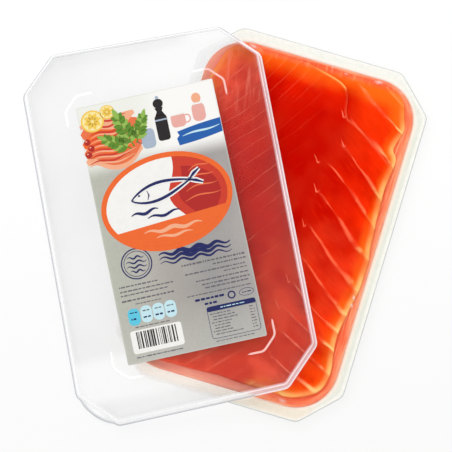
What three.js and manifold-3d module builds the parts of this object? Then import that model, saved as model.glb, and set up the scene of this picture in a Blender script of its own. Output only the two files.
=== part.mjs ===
// Pack of smoked salmon slices with its lid, in millimetres, +Z up.
// The sealed pack lies flat: a shallow tray, the slices in it and a clear top film.
// The empty frosted lid, with its paper label, lies turned the other way, its left
// edge on the table and its right side on the pack.
import * as THREE from 'three';
import Module from 'manifold-3d';
import { mergeVertices } from 'three/addons/utils/BufferGeometryUtils.js';

// Tray: an eight-sided flange round a cavity with rounded corners
const TRAY_LENGTH = 238;
const TRAY_WIDTH = 155;
const TRAY_CHAMFER = 24;
const CAVITY_LENGTH = 223;
const CAVITY_WIDTH = 139;
const CAVITY_RADIUS = 28;
const TRAY_SHEET = 0.6;
const FLANGE_TOP = 5.7;
const WALL_DRAFT = 1.2;
const TRAY_BEND = 0.9;

// Top film: sealed on the flange, drawn up over the slices
const SEAL_GAP = 0.3;
const FILM_SHEET = 0.3;
const FILM_INSET = 0.5;
const CROWN_RISE = 3.4;
const CROWN_REACH = 5;
const WAVE_HEIGHT = 0.25;
const WAVE_ALONG = 74;
const WAVE_ACROSS = 58;

// Slices: the lower ones fill the cavity, two more lie on them
const SLICE_GAP = 0.35;
const SLICE_THICKNESS = 1.1;
const LOWER_TOP = 5.8;
const SLICE_EDGE_WAVE = 1.1;
const TOP_SLICE_INSET = 5.2;
const SECOND_SLICE_INSET = 6.2;
const NOTCH_FROM = THREE.MathUtils.degToRad(47);
const NOTCH_TO = THREE.MathUtils.degToRad(74.5);
const NOTCH_SLOPE = THREE.MathUtils.degToRad(5);
const NOTCH_DEPTH = 24;

// Lid: a rim flange, a low wall and a flat raised panel
const LID_LENGTH = 245;
const LID_WIDTH = 159;
const LID_CHAMFER = 23.6;
const LID_CORNER_RADIUS = 7;
const LID_HEIGHT = 9;
const LID_SHEET = 0.8;
const RIM_WIDTH = 2;
const LID_DRAFT = 1.5;
const LID_BEND = 1.2;

// Stacking ribs on the panel's corners and the finger tab on one chamfer
const RIB_X = 52.7;
const RIB_Y = 94;
const RIB_CHAMFER = 9;
const RIB_ARM = 10;
const RIB_RADIUS = 0.8;
const RIB_RISE = 0.15;
const TAB_LENGTH = 23;
const TAB_REACH = 3.4;
const TAB_ROOT = 1.2;
const TAB_CORNER = 2.4;
const TAB_SHIFT = 0.8;

// Label stuck on the lid
const LABEL_WIDTH = 91;
const LABEL_LENGTH = 169.5;
const LABEL_CORNER = 1;
const LABEL_SHEET = 0.3;
const LABEL_SHIFT = 1;
const LABEL_TURN = THREE.MathUtils.degToRad(0.8);

// How the two pieces lie
const PACK_X = 66.6;
const PACK_Y = -1.6;
const PACK_TURN = THREE.MathUtils.degToRad(-16.3);
const LID_TURN = THREE.MathUtils.degToRad(10.6);
const LID_TILT = THREE.MathUtils.degToRad(4.3);

// How finely the outlines are divided
const SIDE_STEPS = 4;
const END_STEPS = 3;
const CORNER_STEPS = 6;
const LID_CORNER_STEPS = 3;
const BEAD_SIDES = 8;
const BEAD_STEPS = 14;

// How a chamfer's leg shrinks when an eight-sided outline is drawn inwards
const LEG_SHRINK = 2 - Math.SQRT2;

const wasm = await Module();
wasm.setup();

const ease = THREE.MathUtils.smoothstep;

// Distance from the centre to a rounded rectangle, along a direction
function roundedReach(angle, length, width, radius) {
  const across = Math.abs(Math.cos(angle));
  const along = Math.abs(Math.sin(angle));
  const coreX = width / 2 - radius;
  const coreY = length / 2 - radius;
  if (along * (width / 2) <= coreY * across) return width / 2 / across;
  if (across * (length / 2) <= coreX * along) return length / 2 / along;
  const middle = across * coreX + along * coreY;
  return middle + Math.sqrt(middle ** 2 - coreX ** 2 - coreY ** 2 + radius ** 2);
}

// Distance from the centre to an eight-sided outline, along a direction
function octagonReach(angle, length, width, leg) {
  const across = Math.abs(Math.cos(angle));
  const along = Math.abs(Math.sin(angle));
  const toChamfer = ((length + width) / 2 - leg) / (across + along);
  return Math.min(width / 2 / across, length / 2 / along, toChamfer);
}

// Directions at which every ring of the tray, film and slices has a point
function ringAngles() {
  const sideX = CAVITY_WIDTH / 2;
  const endY = CAVITY_LENGTH / 2;
  const coreX = sideX - CAVITY_RADIUS;
  const coreY = endY - CAVITY_RADIUS;
  const quarter = [];
  for (let i = 0; i < SIDE_STEPS; i++) quarter.push(Math.atan2((coreY * i) / SIDE_STEPS, sideX));
  for (let i = 0; i <= CORNER_STEPS; i++) {
    const turn = (Math.PI / 2) * (i / CORNER_STEPS);
    const x = coreX + CAVITY_RADIUS * Math.cos(turn);
    const y = coreY + CAVITY_RADIUS * Math.sin(turn);
    quarter.push(Math.atan2(y, x));
  }
  for (let i = 1; i <= END_STEPS; i++) {
    quarter.push(Math.atan2(endY, coreX * (1 - i / END_STEPS)));
  }
  quarter.push(Math.atan2(TRAY_LENGTH / 2 - TRAY_CHAMFER, TRAY_WIDTH / 2));
  quarter.push(Math.atan2(TRAY_LENGTH / 2, TRAY_WIDTH / 2 - TRAY_CHAMFER));
  const around = quarter.flatMap((a) => [a, Math.PI - a, Math.PI + a, 2 * Math.PI - a]);
  const turns = around.map((a) => a % (2 * Math.PI)).sort((a, b) => a - b);
  return turns.filter((a, i) => i === 0 || a - turns[i - 1] > 1e-4);
}

const ANGLES = ringAngles();

// One ring of points: its reach is worked out for each direction, its height for each place
function ring(reach, height) {
  return ANGLES.map((angle) => {
    const far = reach(angle);
    const x = far * Math.cos(angle);
    const y = far * Math.sin(angle);
    return new THREE.Vector3(x, y, height(x, y));
  });
}

function cavityReach(angle, inset) {
  const radius = CAVITY_RADIUS - inset;
  return roundedReach(angle, CAVITY_LENGTH - 2 * inset, CAVITY_WIDTH - 2 * inset, radius);
}

function cavityRing(inset, z) {
  return ring((angle) => cavityReach(angle, inset), () => z);
}

function octagonRing(inset, z) {
  const leg = TRAY_CHAMFER - LEG_SHRINK * inset;
  const length = TRAY_LENGTH - 2 * inset;
  const width = TRAY_WIDTH - 2 * inset;
  return ring((angle) => octagonReach(angle, length, width, leg), () => z);
}

// Closed solid through a stack of rings, from its top centre round to its bottom centre
function solidThroughRings(rings, topZ, bottomZ) {
  const count = rings[0].length;
  const points = [new THREE.Vector3(0, 0, topZ), ...rings.flat(), new THREE.Vector3(0, 0, bottomZ)];
  const last = points.length - 1;
  const faces = [];
  for (let i = 0; i < count; i++) {
    const next = (i + 1) % count;
    faces.push(0, 1 + i, 1 + next);
    faces.push(last, last - count + next, last - count + i);
    for (let r = 0; r < rings.length - 1; r++) {
      const upper = 1 + r * count;
      const lower = upper + count;
      faces.push(upper + i, lower + i, lower + next);
      faces.push(upper + i, lower + next, upper + next);
    }
  }
  const geometry = new THREE.BufferGeometry().setFromPoints(points);
  geometry.setIndex(faces);
  geometry.computeVertexNormals();
  return geometry;
}

function toManifold(geometry) {
  const bare = geometry.clone();
  bare.deleteAttribute('normal');
  bare.deleteAttribute('uv');
  const merged = mergeVertices(bare);
  const vertProperties = new Float32Array(merged.getAttribute('position').array);
  const triVerts = new Uint32Array(merged.getIndex().array);
  return new wasm.Manifold(new wasm.Mesh({ numProp: 3, vertProperties, triVerts }));
}

// One closed geometry from several that overlap
function joined(geometries) {
  const whole = geometries.map(toManifold).reduce((sum, piece) => sum.add(piece));
  const mesh = whole.getMesh();
  const geometry = new THREE.BufferGeometry();
  geometry.setAttribute('position', new THREE.BufferAttribute(new Float32Array(mesh.vertProperties), 3));
  geometry.setIndex(Array.from(mesh.triVerts));
  geometry.computeVertexNormals();
  return geometry;
}

function finish(color, roughness, more = {}) {
  return new THREE.MeshStandardMaterial({ color, roughness, metalness: 0, ...more });
}

function named(name, geometry, material) {
  const mesh = new THREE.Mesh(geometry, material);
  mesh.name = name;
  return mesh;
}

// Gentle waves that the film and the slices below it share
function wave(x, y) {
  const along = Math.sin((2 * Math.PI * (y + 0.4 * x)) / WAVE_ALONG);
  const across = Math.sin((2 * Math.PI * (x - 0.3 * y)) / WAVE_ACROSS + 1);
  return WAVE_HEIGHT * along * across;
}

// Distance of a point from the cavity's outline, towards the centre
function depthInside(x, y) {
  const angle = Math.atan2(y, x);
  const straight = cavityReach(angle, 0) - Math.hypot(x, y);
  const sideways = Math.min(CAVITY_WIDTH / 2 - Math.abs(x), CAVITY_LENGTH / 2 - Math.abs(y));
  return Math.max(0, Math.min(straight, sideways));
}

// Underside of the film above any point of the cavity
function filmUnder(x, y) {
  const depth = depthInside(x, y);
  const rise = 1 - Math.exp(-depth / CROWN_REACH);
  return FLANGE_TOP + SEAL_GAP + CROWN_RISE * rise + wave(x, y) * rise ** 2;
}

function filmRings(lift) {
  const insets = [30, 16, 9, 5, 2.5, 0];
  const surface = (x, y) => filmUnder(x, y) + lift;
  const half = ring((angle) => cavityReach(angle, 0) * 0.4, surface);
  return [half, ...insets.map((inset) => cavityInsetRing(inset, surface))];
}

// A ring that keeps to the cavity's outline, a given depth inside it
function cavityInsetRing(inset, surface) {
  return ring((angle) => {
    const core = Math.max(CAVITY_RADIUS - inset, 4);
    return roundedReach(angle, CAVITY_LENGTH - 2 * inset, CAVITY_WIDTH - 2 * inset, core);
  }, surface);
}

function topFilm() {
  const flangeZ = FLANGE_TOP + SEAL_GAP;
  const outline = (z) => octagonRing(FILM_INSET, z);
  const rings = [
    ...filmRings(FILM_SHEET),
    outline(flangeZ + FILM_SHEET),
    outline(flangeZ),
    ...filmRings(0).reverse(),
  ];
  const geometry = solidThroughRings(rings, filmUnder(0, 0) + FILM_SHEET, filmUnder(0, 0));
  const look = finish(0xe9efe4, 0.15, { transparent: true, opacity: 0.35 });
  return named('top_film', geometry, look);
}

function tray() {
  const floorEdge = WALL_DRAFT + TRAY_BEND;
  const under = FLANGE_TOP - TRAY_SHEET;
  const rings = [
    cavityRing(floorEdge + TRAY_SHEET, TRAY_SHEET),
    cavityRing(WALL_DRAFT + TRAY_SHEET, TRAY_SHEET + TRAY_BEND),
    cavityRing(TRAY_SHEET, under),
    cavityRing(0, FLANGE_TOP),
    octagonRing(0, FLANGE_TOP),
    octagonRing(0, under),
    cavityRing(0, under),
    cavityRing(WALL_DRAFT, TRAY_BEND),
    cavityRing(floorEdge, 0),
  ];
  const geometry = solidThroughRings(rings, TRAY_SHEET, 0);
  return named('tray', geometry, finish(0xf3efe2, 0.25, { transparent: true, opacity: 0.6 }));
}

// The slices below the two that show whole: one mass pressed out to the tray's wall
function lowerSlices() {
  const floor = TRAY_SHEET + SLICE_GAP;
  const wall = TRAY_SHEET + SLICE_GAP;
  const rings = [
    cavityInsetRing(20, () => LOWER_TOP),
    cavityRing(4.5, LOWER_TOP),
    cavityRing(wall + 0.8, LOWER_TOP - 0.3),
    cavityRing(wall + 0.1, FLANGE_TOP - TRAY_SHEET - 0.4),
    cavityRing(wall + WALL_DRAFT, floor + TRAY_BEND),
    cavityRing(wall + WALL_DRAFT + TRAY_BEND, floor),
  ];
  return named('salmon_lower_slices', solidThroughRings(rings, LOWER_TOP, floor), finish(0xf08058, 0.45));
}

// How far a slice's wavy edge stays inside the cavity's outline
function edgeInset(angle, inset, phase) {
  const ripple = Math.sin(5 * angle + phase) + 0.6 * Math.sin(11 * angle + 2 * phase);
  const corner = 3.2 * Math.abs(Math.sin(2 * angle)) ** 3;
  return inset + corner + SLICE_EDGE_WAVE * ripple;
}

// A thin slice with a rounded edge; outline gives its reach, underside and topside its faces
function slice(name, outline, underside, topside, color) {
  const shares = [0.3, 0.6, 0.8, 0.92, 0.98];
  const rimHeight = (x, y) => (underside(x, y) + topside(x, y)) / 2;
  const face = (height) => shares.map((share) => ring((a) => outline(a) * share, height));
  const rings = [...face(topside), ring(outline, rimHeight), ...face(underside).reverse()];
  const geometry = solidThroughRings(rings, topside(0, 0), underside(0, 0));
  return named(name, geometry, finish(color, 0.35));
}

// The second slice, which shows where the top one leaves a corner bare
function secondSlice() {
  const outline = (angle) => cavityReach(angle, 0) - edgeInset(angle, SECOND_SLICE_INSET, 2.1);
  const underside = () => LOWER_TOP + SLICE_GAP;
  const topside = (x, y) => filmUnder(x, y) - SLICE_THICKNESS - 2 * SLICE_GAP;
  return slice('salmon_second_slice', outline, underside, topside, 0xf2601e);
}

// The top slice, drawn back at the far right corner
function topSlice() {
  const outline = (angle) => {
    const opening = ease(angle, NOTCH_FROM - NOTCH_SLOPE, NOTCH_FROM + NOTCH_SLOPE);
    const closing = ease(angle, NOTCH_TO - NOTCH_SLOPE / 2, NOTCH_TO + NOTCH_SLOPE / 2);
    const notch = NOTCH_DEPTH * (opening - closing);
    return cavityReach(angle, 0) - edgeInset(angle, TOP_SLICE_INSET, 0.5) - notch;
  };
  const underside = (x, y) => filmUnder(x, y) - SLICE_THICKNESS - SLICE_GAP;
  const topside = (x, y) => filmUnder(x, y) - SLICE_GAP;
  return slice('salmon_top_slice', outline, underside, topside, 0xe83a08);
}

// Eight-sided outline with rounded corners, drawn inwards by inset
function lidOutline(inset, z) {
  const x = LID_WIDTH / 2 - inset;
  const y = LID_LENGTH / 2 - inset;
  const leg = LID_CHAMFER - LEG_SHRINK * inset;
  const radius = Math.max(LID_CORNER_RADIUS - inset, 1);
  const corners = [[x, -y + leg], [x, y - leg], [x - leg, y], [-x + leg, y],
    [-x, y - leg], [-x, -y + leg], [-x + leg, -y], [x - leg, -y]];
  const setBack = radius * Math.tan(Math.PI / 8);
  return corners.flatMap(([cornerX, cornerY], index) => {
    const towards = (other) => {
      const [otherX, otherY] = corners[(other + 8) % 8];
      return new THREE.Vector2(otherX - cornerX, otherY - cornerY).normalize();
    };
    const corner = new THREE.Vector2(cornerX, cornerY);
    const start = corner.clone().addScaledVector(towards(index - 1), setBack);
    const end = corner.clone().addScaledVector(towards(index + 1), setBack);
    const bend = new THREE.QuadraticBezierCurve(start, corner, end);
    return bend.getPoints(LID_CORNER_STEPS).map((p) => new THREE.Vector3(p.x, p.y, z));
  });
}

// The lid's pressed sheet: rim flange, drafted wall and panel, open below
function lidSheet() {
  const under = LID_HEIGHT - LID_SHEET;
  const wallTop = RIM_WIDTH + LID_DRAFT;
  const rings = [
    lidOutline(wallTop + LID_BEND, LID_HEIGHT),
    lidOutline(wallTop + 0.3 * LID_BEND, LID_HEIGHT - 0.3 * LID_BEND),
    lidOutline(wallTop, LID_HEIGHT - LID_BEND),
    lidOutline(RIM_WIDTH, LID_SHEET),
    lidOutline(0, LID_SHEET),
    lidOutline(0, 0),
    lidOutline(RIM_WIDTH + LID_SHEET, 0),
    lidOutline(wallTop + LID_SHEET, LID_HEIGHT - LID_BEND),
    lidOutline(wallTop + LID_SHEET + 0.5 * LID_BEND, under),
  ];
  return solidThroughRings(rings, LID_HEIGHT, under);
}

// One raised bead that turns the panel's corner, in the quarter given by its signs
function stackingRib(signX, signY) {
  const z = LID_HEIGHT + RIB_RISE;
  const turned = 0.25 * RIB_CHAMFER;
  const route = [
    [RIB_X, RIB_Y - RIB_CHAMFER - RIB_ARM],
    [RIB_X, RIB_Y - RIB_CHAMFER],
    [RIB_X - turned, RIB_Y - RIB_CHAMFER + 2 * turned],
    [RIB_X - 2 * turned - turned, RIB_Y - turned],
    [RIB_X - RIB_CHAMFER - turned, RIB_Y],
    [RIB_X - RIB_CHAMFER - RIB_ARM, RIB_Y],
  ];
  const points = route.map(([x, y]) => new THREE.Vector3(signX * x, signY * y, z));
  const section = new THREE.Shape();
  section.absarc(0, 0, RIB_RADIUS, 0, 2 * Math.PI);
  return new THREE.ExtrudeGeometry(section, {
    extrudePath: new THREE.CatmullRomCurve3(points),
    steps: BEAD_STEPS,
    curveSegments: BEAD_SIDES,
  });
}

// Finger tab: a flat lug at rim height on the near left chamfer
function fingerTab() {
  const half = TAB_LENGTH / 2;
  const lug = new THREE.Shape();
  lug.moveTo(-half, -TAB_ROOT);
  lug.lineTo(half, -TAB_ROOT);
  lug.lineTo(half, TAB_REACH - TAB_CORNER);
  lug.quadraticCurveTo(half, TAB_REACH, half - TAB_CORNER, TAB_REACH);
  lug.lineTo(-half + TAB_CORNER, TAB_REACH);
  lug.quadraticCurveTo(-half, TAB_REACH, -half, TAB_REACH - TAB_CORNER);
  lug.closePath();
  const geometry = new THREE.ExtrudeGeometry(lug, {
    depth: LID_SHEET,
    bevelEnabled: false,
    curveSegments: 4,
  });
  geometry.translate(TAB_SHIFT, 0, 0);
  geometry.rotateZ((3 * Math.PI) / 4);
  const middle = LID_CHAMFER / 2;
  geometry.translate(-LID_WIDTH / 2 + middle, -LID_LENGTH / 2 + middle, 0);
  return geometry;
}

function lid() {
  const pieces = [lidSheet(), fingerTab()];
  for (const signX of [-1, 1]) {
    for (const signY of [-1, 1]) pieces.push(stackingRib(signX, signY));
  }
  return named('lid', joined(pieces), finish(0xf4f6f6, 0.4, { transparent: true, opacity: 0.55 }));
}

function label() {
  const x = LABEL_WIDTH / 2;
  const y = LABEL_LENGTH / 2;
  const sheet = new THREE.Shape();
  sheet.moveTo(x, -y + LABEL_CORNER);
  sheet.lineTo(x, y - LABEL_CORNER);
  sheet.quadraticCurveTo(x, y, x - LABEL_CORNER, y);
  sheet.lineTo(-x + LABEL_CORNER, y);
  sheet.quadraticCurveTo(-x, y, -x, y - LABEL_CORNER);
  sheet.lineTo(-x, -y + LABEL_CORNER);
  sheet.quadraticCurveTo(-x, -y, -x + LABEL_CORNER, -y);
  sheet.lineTo(x - LABEL_CORNER, -y);
  sheet.quadraticCurveTo(x, -y, x, -y + LABEL_CORNER);
  const geometry = new THREE.ExtrudeGeometry(sheet, {
    depth: LABEL_SHEET,
    bevelEnabled: false,
    curveSegments: 3,
  });
  const mesh = named('label', geometry, finish(0xbeb9af, 0.6));
  mesh.position.set(LABEL_SHIFT, 0, LID_HEIGHT + SEAL_GAP);
  mesh.rotation.z = LABEL_TURN;
  return mesh;
}

// The sealed pack, flat on the table
function sealedPack() {
  const pack = new THREE.Group();
  pack.add(tray(), lowerSlices(), secondSlice(), topSlice(), topFilm());
  pack.position.set(PACK_X, PACK_Y, 0);
  pack.rotation.z = PACK_TURN;
  return pack;
}

// The lid and its label, tilted about the lid's left edge, which stays on the table
function labelledLid() {
  const tilted = new THREE.Group();
  tilted.add(lid(), label());
  tilted.rotation.y = -LID_TILT;
  tilted.position.z = (LID_WIDTH / 2) * Math.sin(LID_TILT);
  const turned = new THREE.Group();
  turned.add(tilted);
  turned.rotation.z = LID_TURN;
  return turned;
}

// The whole, with the middle of its footprint at the origin
function arrangement() {
  const whole = new THREE.Group();
  whole.add(sealedPack(), labelledLid());
  whole.updateMatrixWorld(true);
  const middle = new THREE.Box3().setFromObject(whole, true).getCenter(new THREE.Vector3());
  whole.position.set(-middle.x, -middle.y, 0);
  whole.updateMatrixWorld(true);
  return whole;
}

export default arrangement();
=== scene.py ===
import math
import random
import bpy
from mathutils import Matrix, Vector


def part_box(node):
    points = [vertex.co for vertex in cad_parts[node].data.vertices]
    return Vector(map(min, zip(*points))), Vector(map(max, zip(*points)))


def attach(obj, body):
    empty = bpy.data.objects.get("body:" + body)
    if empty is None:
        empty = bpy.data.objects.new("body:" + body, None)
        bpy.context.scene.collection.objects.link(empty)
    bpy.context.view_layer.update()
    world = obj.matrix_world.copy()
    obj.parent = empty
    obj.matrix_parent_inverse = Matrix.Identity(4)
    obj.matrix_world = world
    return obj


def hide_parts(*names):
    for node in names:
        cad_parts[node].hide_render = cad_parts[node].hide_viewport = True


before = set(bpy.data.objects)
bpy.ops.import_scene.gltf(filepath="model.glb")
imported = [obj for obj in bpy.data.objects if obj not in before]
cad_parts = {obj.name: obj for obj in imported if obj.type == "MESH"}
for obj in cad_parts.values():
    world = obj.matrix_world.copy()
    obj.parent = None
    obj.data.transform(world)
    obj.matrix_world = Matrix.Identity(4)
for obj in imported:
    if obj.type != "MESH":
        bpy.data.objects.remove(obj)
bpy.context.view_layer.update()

from types import SimpleNamespace

import bpy
import numpy as np
from mathutils import Matrix, Vector
from mathutils.kdtree import KDTree

BODY = "root"
MM = 0.001

# Tray and cavity, in millimetres like every size below
TRAY_LENGTH = 238
TRAY_WIDTH = 155
TRAY_CHAMFER = 24
TRAY_ROUND = 5
CAVITY_LENGTH = 223
CAVITY_WIDTH = 141.4
CAVITY_RADIUS = 28
TRAY_SHEET = 0.6
FLANGE_TOP = 5.7
WALL_DRAFT = 1.2
TRAY_BEND = 0.9

# Film
SEAL_GAP = 0.3
FILM_SHEET = 0.3
FILM_INSET = 0.5
CROWN_RISE = 3.4
CROWN_REACH = 5
WAVE_HEIGHT = 0.25
WAVE_ALONG = 74
WAVE_ACROSS = 58
WRINKLE = 0.04

# Pale spots on pinched creases in the film, partly painted glints: how many lie at random, and in which
# directions, in degrees, the others lie
PINCH_GLINTS = 6
PINCH_GLINT_TURNS = (69.4, 112, -69.5)

# Slices
SLICE_GAP = 0.35
SLICE_THICKNESS = 1.1
LOWER_TOP = 5.8
SLICE_INSET = 2.3
SLICE_EDGE_WAVE = 0.35
TOP_SLICE_INSET = 0.25

# The edge of the top slice's cut corner, from the far end to the side: (across, along)
CORNER_CUT = [
    (-14, 109.3), (2, 105.8), (12, 103.4), (18, 101.3), (21.5, 98.8), (23.8, 95),
    (25.2, 90), (26, 84), (28.5, 79), (38, 75), (50, 66.7), (62.5, 58),
]

# Where the slices stop further short of the cavity's edge: (along, how far, half length)
SLICE_BAYS = [(-112, 3.5, 8), (-70, 9.3, 28), (42, 4.8, 34), (79, 8.5, 9), (96, 5, 8)]
SLICE_ROUND = 1.2
FAT_GROOVE = 0.09
GROOVE_WIDTH = 0.8
LINE_SPACING = 17

# Points round a whole slice, and rings from its middle to its edge
SLICE_COUNT = 560
SLICE_RINGS = 110

# Where each fat line starts on the fillet's middle line, far end first: (across, along)
FAT_TIPS = [(26, 104), (25.3, 80.5), (30.9, 62.1), (17.8, 47.4), (22.5, 28.5), (21.2, 4.5),
            (24, -15), (22, -33), (20.7, -51), (22.8, -65.3), (25.7, -82.7), (25, -100)]

# The arms of the fat lines leave the middle line this far from it, along a bend of this size
ARM_START = 3
ARM_BEND = 1.5

# How steeply the right arms of the fat lines fall, near end first: (along, slope)
ARM_SLOPES = [(-100, 0.46), (-83, 0.5), (-67, 0.48), (-57, 0.62), (-44, 0.76), (-22, 0.79), (4, 0.83),
              (17, 0.8), (42, 0.68), (60, 0.62), (90, 0.72)]
LEFT_SLOPES = [(-100, 1.1), (100, 1.9)]

# The two strokes of the hook at each start of a fat line: (range of lengths, range of leans in degrees)
TICK_STROKES = [((5, 7), (116, 128)), ((2, 3), (52, 66))]

# Lid
LID_LENGTH = 245
LID_WIDTH = 159
LID_CHAMFER = 23.6
LID_CORNER_RADIUS = 7
LID_HEIGHT = 9
LID_SHEET = 0.8
RIM_WIDTH = 1.4
LID_DRAFT = 0.8
LID_BEND = 0.8
WALL_SHIFT = 0.5
RIB_X = 52.7
RIB_Y = 94
RIB_CHAMFER = 9
RIB_ARM = 10
RIB_RADIUS = 0.7
RIB_RISE = 0.15
TAB_LENGTH = 26
TAB_REACH = 3
TAB_ROOT = 1.2
TAB_OUT = np.array([-1, -1]) / math.sqrt(2)
TAB_MIDDLE = np.array([LID_CHAMFER - LID_WIDTH, LID_CHAMFER - LID_LENGTH]) / 2
EDGE_STEPS = 24

# Label
LABEL_WIDTH = 91
LABEL_LENGTH = 171.5
LABEL_CORNER = 1
LABEL_SHEET = 0.4
LABEL_SHIFT = (1, 0.6, LID_HEIGHT + 0.05)
LABEL_TURN = math.radians(0.8)
INK_STEP = 0.03

# How the two pieces lie
PACK_X = 66.6
PACK_Y = -1.6
PACK_TURN = math.radians(-16.5)
LID_TURN = math.radians(10.6)
LID_TILT = math.radians(4.3)

# Small departures from the solids, which fit the outlines to the photo
PACK_NUDGE = (-0.5, 1.3)
PACK_TAPER = 0.00011
PACK_LEAN = 0.004
PACK_STRETCH = 1.006
LID_TAPER = 0.00023
PANEL_SHIFT = (0.8, -1.6)
PANEL_TURN = math.radians(0.5)

# How far in from the lid's edge the pack is fully covered
COVER_FADE = 2.5

# Camera
IMAGE_SIZE = 452
CAMERA_HEIGHT_ANGLE = math.radians(81)
CAMERA_DISTANCE = 1.5
FOCAL_PX = 2314
AIM = Vector((1.1, -2.3, 6)) * MM
SENSOR = 36

# How much shorter a corner's two legs get when an octagon is drawn in by 1
LEG_SHRINK = 2 - math.sqrt(2)

# The level at which the light shows a matt white surface, and the painted glow on the fish, an emission that
# stands in for light
LIGHT_LEVEL = 1.12
PAINTED_GLOW = 0.05

tray_low, tray_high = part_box("tray")
pack_middle = (tray_low + tray_high) / 2
PACK = (
    Matrix.Translation((pack_middle.x + PACK_NUDGE[0] * MM, pack_middle.y + PACK_NUDGE[1] * MM, 0))
    @ Matrix.Rotation(PACK_TURN, 4, "Z")
)
LID = (
    Matrix.Translation((pack_middle.x - PACK_X * MM, pack_middle.y - PACK_Y * MM, 0))
    @ Matrix.Rotation(LID_TURN, 4, "Z")
    @ Matrix.Translation((0, 0, LID_WIDTH / 2 * math.sin(LID_TILT) * MM))
    @ Matrix.Rotation(-LID_TILT, 4, "Y")
)
PANEL = LID @ Matrix.Translation(Vector((*PANEL_SHIFT, 0)) * MM) @ Matrix.Rotation(PANEL_TURN, 4, "Z")
LABEL = PANEL @ Matrix.Translation(Vector(LABEL_SHIFT) * MM) @ Matrix.Rotation(LABEL_TURN, 4, "Z")


# Colours and node trees
class Value:
    """A number, colour or place in a material's node tree. Arithmetic on it adds math nodes."""

    def __init__(self, shader, socket):
        self.shader = shader
        self.socket = socket

    def __add__(self, other):
        return self.shader.math("ADD", self, other)

    def __sub__(self, other):
        return self.shader.math("SUBTRACT", self, other)

    def __rsub__(self, other):
        return self.shader.math("SUBTRACT", other, self)

    def __mul__(self, other):
        return self.shader.math("MULTIPLY", self, other)

    def __truediv__(self, other):
        return self.shader.math("DIVIDE", self, other)

    def __abs__(self):
        return self.shader.math("ABSOLUTE", self)

    def most(self, other):
        return self.shader.math("MAXIMUM", self, other)

    def least(self, other):
        return self.shader.math("MINIMUM", self, other)

    def step(self, low, high, start=0, end=1):
        """Runs smoothly from start, where this value is low, to end, where it is high."""
        made = self.shader.node("ShaderNodeMapRange", interpolation_type="SMOOTHSTEP")
        names = ("Value", "From Min", "From Max", "To Min", "To Max")
        for name, value in zip(names, (self, low, high, start, end)):
            self.shader.feed(made.inputs[name], value)
        return Value(self.shader, made.outputs[0])


class Shader:
    """One Principled material. Colours are given as three screen values from 0 to 255.

    They are painted darker by light, the level at which the scene shows a matt white surface.
    """

    def __init__(self, name, light=1.0):
        self.material = bpy.data.materials.new(name)
        self.material.use_nodes = True
        self.tree = self.material.node_tree
        self.surface = self.tree.nodes["Principled BSDF"]
        self.light = light

    def paint(self, color):
        """A colour as the nodes take it; one that has four values already is left as it is."""
        if len(color) == 4:
            return color
        shares = [value / 255 for value in color]
        linear = [s / 12.92 if s <= 0.04045 else ((s + 0.055) / 1.055) ** 2.4 for s in shares]
        return (*(value / self.light for value in linear), 1.0)

    def node(self, kind, **settings):
        made = self.tree.nodes.new(kind)
        for key, value in settings.items():
            setattr(made, key, value)
        return made

    def feed(self, socket, value):
        if isinstance(value, Value):
            self.tree.links.new(value.socket, socket)
        else:
            socket.default_value = self.paint(value) if isinstance(value, tuple) else value

    def set(self, **inputs):
        for key, value in inputs.items():
            self.feed(self.surface.inputs[key.replace("_", " ")], value)
        return self.material

    def moist(self, tone, roughness):
        """Flesh, whose shine is the film's alone, with a faint painted glow, an emission that stands in for
        flat light.
        """
        return self.set(Base_Color=tone, Roughness=roughness, Specular_IOR_Level=0,
                        Emission_Color=tone, Emission_Strength=PAINTED_GLOW)

    def field(self, name, output="Fac"):
        made = self.node("ShaderNodeAttribute", attribute_name=name)
        return Value(self, made.outputs[output])

    def place(self):
        """Where a point lies in its piece's own frame, in millimetres."""
        return self.field("local", "Vector")

    def part(self, vector, axis):
        split = self.node("ShaderNodeSeparateXYZ")
        self.feed(split.inputs[0], vector)
        return Value(self, split.outputs[axis])

    def math(self, operation, *values):
        made = self.node("ShaderNodeMath", operation=operation)
        for socket, value in zip(made.inputs, values):
            self.feed(socket, value)
        return Value(self, made.outputs[0])

    def noise(self, scale, detail=3, roughness=0.5, stretch=(1, 1, 1), turn=0, place=None):
        mapping = self.node("ShaderNodeMapping", vector_type="TEXTURE")
        self.feed(mapping.inputs["Vector"], place or self.place())
        mapping.inputs["Scale"].default_value = [1 / share for share in stretch]
        mapping.inputs["Rotation"].default_value = (0, 0, turn)
        made = self.node("ShaderNodeTexNoise")
        self.feed(made.inputs["Vector"], Value(self, mapping.outputs[0]))
        for name, value in (("Scale", scale), ("Detail", detail), ("Roughness", roughness)):
            made.inputs[name].default_value = value
        return Value(self, made.outputs["Fac"])

    def blend(self, factor, first, second):
        made = self.node("ShaderNodeMix", data_type="RGBA")
        for socket, value in zip((made.inputs[0], made.inputs[6], made.inputs[7]), (factor, first, second)):
            self.feed(socket, value)
        return Value(self, made.outputs[2])

    def over(self, tone, *layers):
        """A tone with layers laid over it in turn, each a share and a colour."""
        for share, color in layers:
            tone = self.blend(share, tone, color)
        return tone

    def ramp(self, factor, *stops):
        made = self.node("ShaderNodeValToRGB")
        band = made.color_ramp.elements
        while len(band) < len(stops):
            band.new(1.0)
        for element, (position, color) in zip(band, stops):
            element.position = position
            element.color = self.paint(color)
        self.feed(made.inputs[0], factor)
        return Value(self, made.outputs[0])

    def bump(self, height, distance, strength):
        made = self.node("ShaderNodeBump")
        for name, value in (("Height", height), ("Distance", distance * MM), ("Strength", strength)):
            self.feed(made.inputs[name], value)
        self.tree.links.new(made.outputs[0], self.surface.inputs["Normal"])


# Meshes
def pack_as_seen(points):
    """The pack in the photo is a hair wider at its far end than the solids, and a hair longer."""
    x, y, z = points.T
    return np.column_stack([x * (1 + PACK_TAPER * y) + PACK_LEAN * y, y * PACK_STRETCH, z])


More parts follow.
